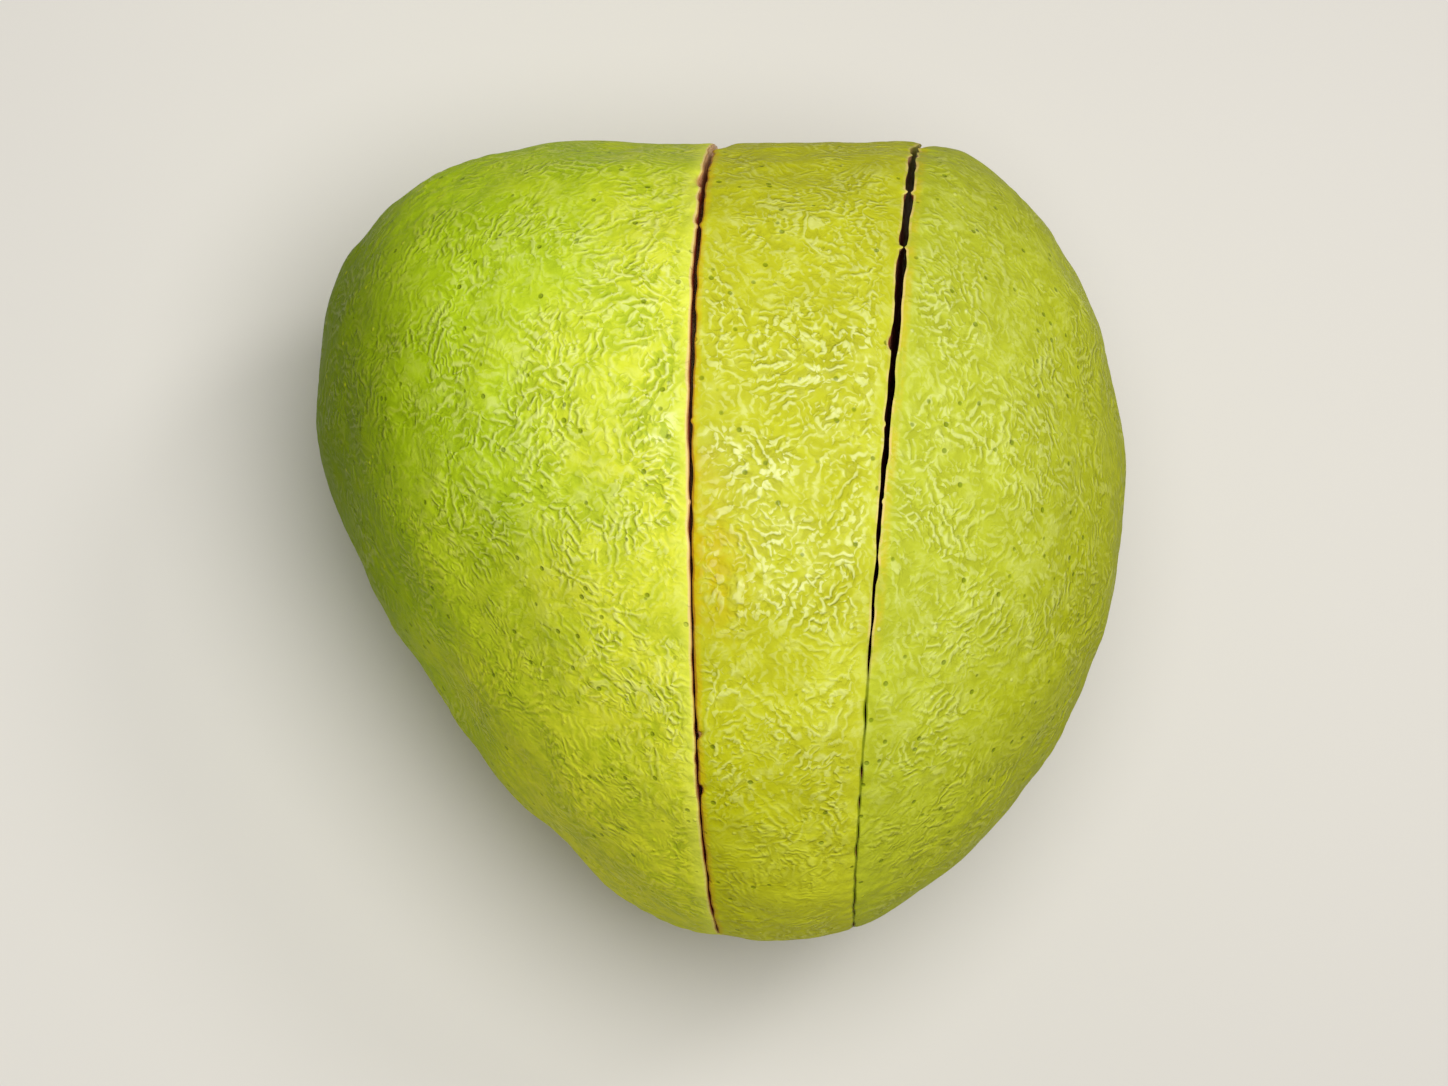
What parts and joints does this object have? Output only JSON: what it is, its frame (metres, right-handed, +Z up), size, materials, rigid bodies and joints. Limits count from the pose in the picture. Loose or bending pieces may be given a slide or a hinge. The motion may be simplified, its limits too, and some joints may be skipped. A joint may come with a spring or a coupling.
{
  "type": "sliced guava",
  "caption": "Whole guava lying on its side, sliced end to end into thick pieces that still stand together as the fruit.",
  "frame": {"origin": "on the flat spot's level, under the middle of the fruit's bounding box", "axes": "+X across the cuts from the left slice to the right one, +Y from the stem end to the calyx end, +Z up"},
  "size_m": [0.084, 0.0838, 0.075],
  "materials": {
    "left_skin": "waxy green guava skin, semi-gloss, finely wrinkled",
    "middle_skin": "waxy yellow-green guava skin, semi-gloss, finely wrinkled, orange by one cut",
    "right_skin": "waxy yellow-green guava skin, semi-gloss, finely wrinkled"
  },
  "bodies": {
    "root": {"left_slice": "left_skin", "middle_slice": "middle_skin", "right_slice": "right_skin"}
  },
  "joints": []
}
